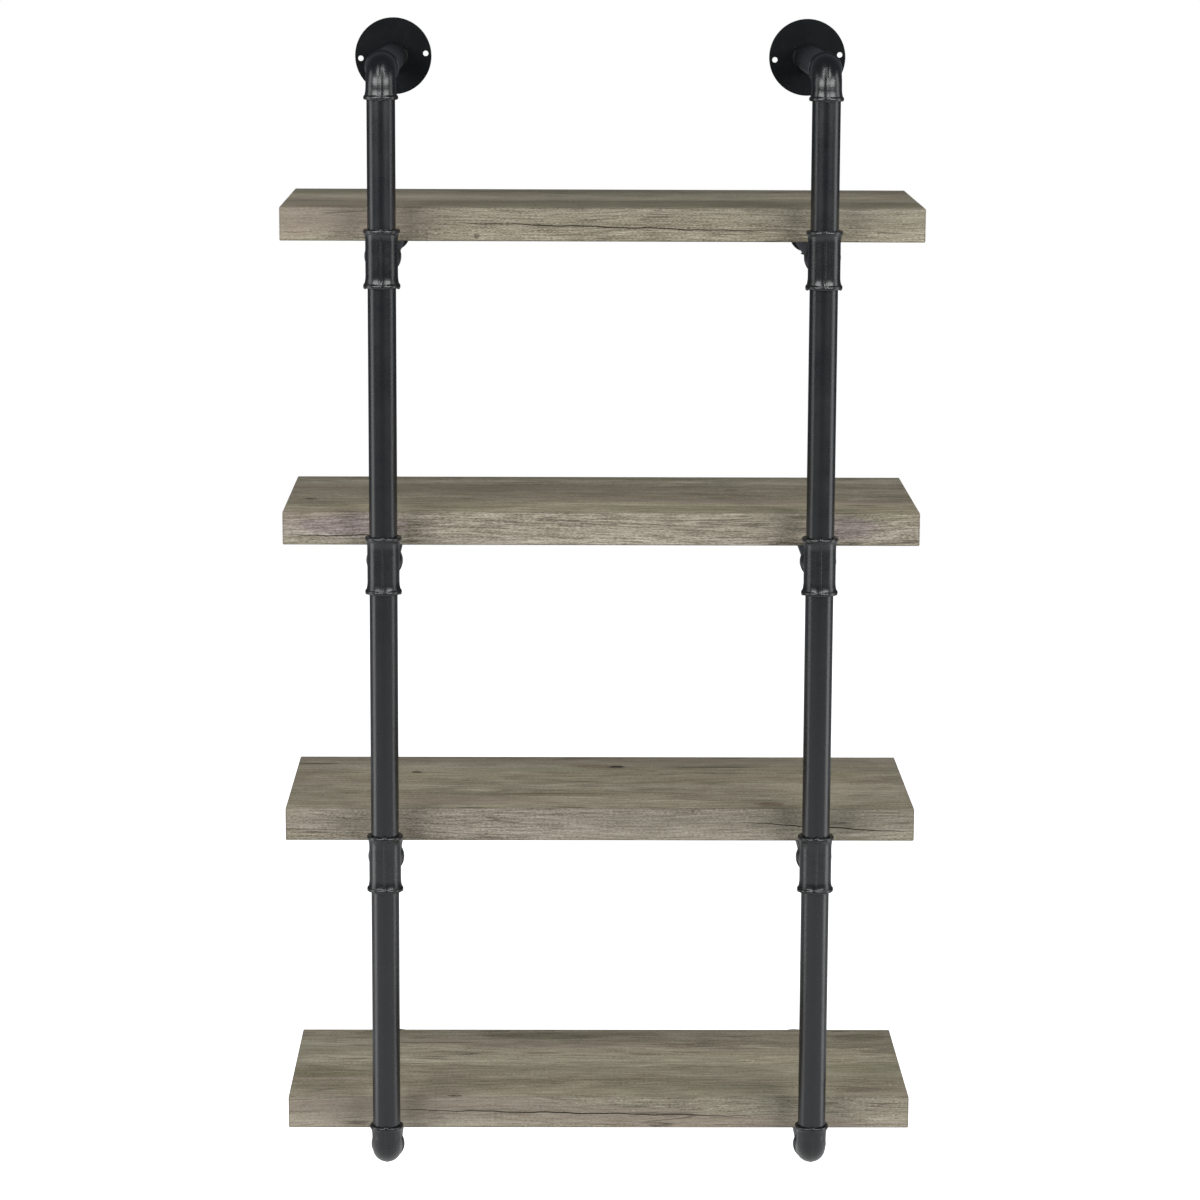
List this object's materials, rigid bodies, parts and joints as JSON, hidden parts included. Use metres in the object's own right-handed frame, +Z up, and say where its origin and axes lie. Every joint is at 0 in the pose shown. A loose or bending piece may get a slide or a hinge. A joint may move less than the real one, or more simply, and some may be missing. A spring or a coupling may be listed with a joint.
{
  "type": "wall shelf",
  "caption": "Wall shelf of weathered grey boards on black pipe uprights, held off the wall by pipe arms with round screw discs.",
  "frame": {"origin": "on the wall plane, midway between the centres of the two upper wall discs", "axes": "+X to the right as seen from the front, +Y into the wall, +Z up"},
  "size_m": [0.6096, 0.3057, 1.1237],
  "materials": {
    "board": "matt weathered grey oak laminate",
    "pipe": "satin black powder coat on steel pipe",
    "fitting": "satin black powder coat on cast fittings",
    "disc": "satin black powder coat on steel plate",
    "hardware": "black coated steel",
    "insert": "bright"
  },
  "bodies": {
    "root": {"top_board": "board", "top_board_inserts": "insert", "top_board_washers": "hardware", "top_board_bolts": "hardware", "upper_board": "board", "upper_board_inserts": "insert", "upper_board_washers": "hardware", "upper_board_bolts": "hardware", "lower_board": "board", "lower_board_inserts": "insert", "lower_board_washers": "hardware", "lower_board_bolts": "hardware", "bottom_board": "board", "bottom_board_inserts": "insert", "bottom_board_washers": "hardware", "bottom_board_bolts": "hardware", "left_hanger_arm_pipe": "pipe", "left_top_arm_pipe": "pipe", "left_upper_arm_pipe": "pipe", "left_lower_arm_pipe": "pipe", "left_bottom_arm_pipe": "pipe", "left_top_upright_pipe": "pipe", "left_upper_upright_pipe": "pipe", "left_lower_upright_pipe": "pipe", "left_bottom_upright_pipe": "pipe", "left_hanger_elbow": "fitting", "left_bottom_elbow": "fitting", "left_top_tee": "fitting", "left_upper_tee": "fitting", "left_lower_tee": "fitting", "left_top_end_cap": "fitting", "left_upper_end_cap": "fitting", "left_lower_end_cap": "fitting", "left_hanger_wall_disc": "disc", "left_bottom_wall_disc": "disc", "right_hanger_arm_pipe": "pipe", "right_top_arm_pipe": "pipe", "right_upper_arm_pipe": "pipe", "right_lower_arm_pipe": "pipe", "right_bottom_arm_pipe": "pipe", "right_top_upright_pipe": "pipe", "right_upper_upright_pipe": "pipe", "right_lower_upright_pipe": "pipe", "right_bottom_upright_pipe": "pipe", "right_hanger_elbow": "fitting", "right_bottom_elbow": "fitting", "right_top_tee": "fitting", "right_upper_tee": "fitting", "right_lower_tee": "fitting", "right_top_end_cap": "fitting", "right_upper_end_cap": "fitting", "right_lower_end_cap": "fitting", "right_hanger_wall_disc": "disc", "right_bottom_wall_disc": "disc"}
  },
  "joints": []
}
